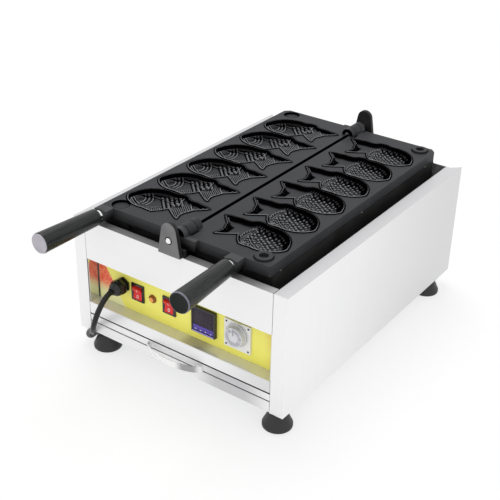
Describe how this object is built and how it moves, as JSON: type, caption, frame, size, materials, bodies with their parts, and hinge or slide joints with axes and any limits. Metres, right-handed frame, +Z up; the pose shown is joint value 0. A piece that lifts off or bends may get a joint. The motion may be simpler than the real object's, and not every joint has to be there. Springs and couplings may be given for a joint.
{
  "type": "fish waffle maker",
  "caption": "Countertop electric fish-waffle cooker: two coated baking plates with fish moulds on a shared centre hinge, black grips, control recess and crumb drawer.",
  "frame": {"origin": "on the floor, under the middle of the cooker with its grips, without its mains lead", "axes": "+X to the right, +Y to the back (the grips point to -Y), +Z up"},
  "size_m": [0.437, 0.8574, 0.306],
  "materials": {
    "casing_steel": "fine brushed stainless sheet, almost white where it faces the light",
    "inner_steel": "plain sheet inside the casing",
    "trough_steel": "heat-darkened sheet",
    "tray_steel": "plain sheet",
    "post_steel": "smooth mid-grey metal",
    "bright_steel": "bright turned or plated metal",
    "heater_rod": "dull sheathed rod",
    "plate_coated": "dark non-stick coating over a cast plate",
    "grip_black": "smooth black plastic with a soft shine",
    "cap_grey": "light grey-violet plastic",
    "yellow_film": "printed yellow film with a red and orange patch at its left end",
    "black_plastic": "fine-grained black plastic",
    "black_gloss": "glossy black plastic",
    "violet_key": "violet-grey key caps",
    "timer_silver": "silver-grey plastic",
    "dial_grey": "clear grey plastic",
    "rocker_red": "bright red plastic with white I and O marks",
    "amber_lens": "amber lens",
    "amber_ring": "brown-orange ring",
    "grey_plastic": "light grey plastic",
    "ivory_plastic": "ivory plastic",
    "wire_red": "coloured wire insulation",
    "cord_black": "matt black round cable",
    "plug_black": "matt black moulded plug",
    "pin_brass": "plain brass pins",
    "foot_rubber": "matt black rubber"
  },
  "bodies": {
    "casing": {"base_pan": "inner_steel", "left_side_panel": "casing_steel", "right_side_panel": "casing_steel", "rear_panel": "casing_steel", "upper_front_panel": "casing_steel", "control_panel": "casing_steel", "control_overlay": "yellow_film", "service_shelf": "inner_steel", "trough_rails": "inner_steel", "left_trough": "trough_steel", "right_trough": "trough_steel", "left_heater": "heater_rod", "right_heater": "heater_rod", "heater_clips": "inner_steel", "plate_rest_bolts": "bright_steel", "case_screws": "bright_steel", "thermocouple": "bright_steel", "terminal_block": "ivory_plastic", "contactor": "grey_plastic", "wire_loom": "wire_red", "controller_body": "black_plastic", "controller_bezel": "black_gloss", "timer_body": "timer_silver", "left_switch_frame": "black_gloss", "right_switch_frame": "black_gloss", "lamp_body": "amber_ring", "lamp_lens": "amber_lens", "gland_body": "black_plastic", "gland_nut": "black_plastic", "gland_locknut": "black_plastic", "power_cord": "cord_black", "cord_coil": "cord_black", "plug_body": "plug_black", "plug_pins": "pin_brass", "rubber_feet": "foot_rubber", "foot_screws": "bright_steel", "drawer_runners": "inner_steel", "front_hinge_post": "post_steel", "rear_hinge_post": "post_steel", "hinge_pins": "bright_steel"},
    "left_plate": {"left_plate": "plate_coated", "left_handle_stud": "bright_steel", "left_grip": "grip_black", "left_grip_cap": "cap_grey"},
    "right_plate": {"right_plate": "plate_coated", "right_handle_stud": "bright_steel", "right_grip": "grip_black", "right_grip_cap": "grip_black"},
    "drawer": {"drawer_tray": "tray_steel", "drawer_front": "casing_steel", "drawer_pull": "bright_steel", "pull_rivets": "bright_steel"},
    "left_rocker": {"left_rocker": "rocker_red"},
    "right_rocker": {"right_rocker": "rocker_red"},
    "timer_dial": {"timer_dial": "dial_grey"},
    "set_key": {"set_key": "violet_key"},
    "shift_key": {"shift_key": "violet_key"},
    "down_key": {"down_key": "violet_key"},
    "up_key": {"up_key": "violet_key"}
  },
  "joints": [
    {"name": "left_plate_hinge", "type": "hinge", "parent": "casing", "child": "left_plate", "pos_m": [0, 0.05761, 0.276], "axis": [0, 1, 0], "range_deg": [0, 180]},
    {"name": "right_plate_hinge", "type": "hinge", "parent": "casing", "child": "right_plate", "pos_m": [0, 0.05761, 0.276], "axis": [0, -1, 0], "range_deg": [0, 180]},
    {"name": "drawer_slide", "type": "slide", "parent": "casing", "child": "drawer", "axis": [0, -1, 0], "range_m": [0, 0.38]},
    {"name": "left_rocker_tilt", "type": "hinge", "parent": "casing", "child": "left_rocker", "pos_m": [-0.097, -0.20639, 0.13], "axis": [-1, 0, 0], "range_deg": [0, 18]},
    {"name": "right_rocker_tilt", "type": "hinge", "parent": "casing", "child": "right_rocker", "pos_m": [-0.029, -0.20639, 0.13], "axis": [-1, 0, 0], "range_deg": [0, 18]},
    {"name": "timer_dial_turn", "type": "hinge", "parent": "casing", "child": "timer_dial", "pos_m": [0.1115, -0.22039, 0.1335], "axis": [0, 1, 0], "range_deg": [0, 300]},
    {"name": "set_key_press", "type": "slide", "parent": "casing", "child": "set_key", "axis": [0, 1, 0], "range_m": [0, 0.0008], "stiffness_N_per_m": 300, "springref_m": -0.0005},
    {"name": "shift_key_press", "type": "slide", "parent": "casing", "child": "shift_key", "axis": [0, 1, 0], "range_m": [0, 0.0008], "stiffness_N_per_m": 300, "springref_m": -0.0005},
    {"name": "down_key_press", "type": "slide", "parent": "casing", "child": "down_key", "axis": [0, 1, 0], "range_m": [0, 0.0008], "stiffness_N_per_m": 300, "springref_m": -0.0005},
    {"name": "up_key_press", "type": "slide", "parent": "casing", "child": "up_key", "axis": [0, 1, 0], "range_m": [0, 0.0008], "stiffness_N_per_m": 300, "springref_m": -0.0005}
  ]
}
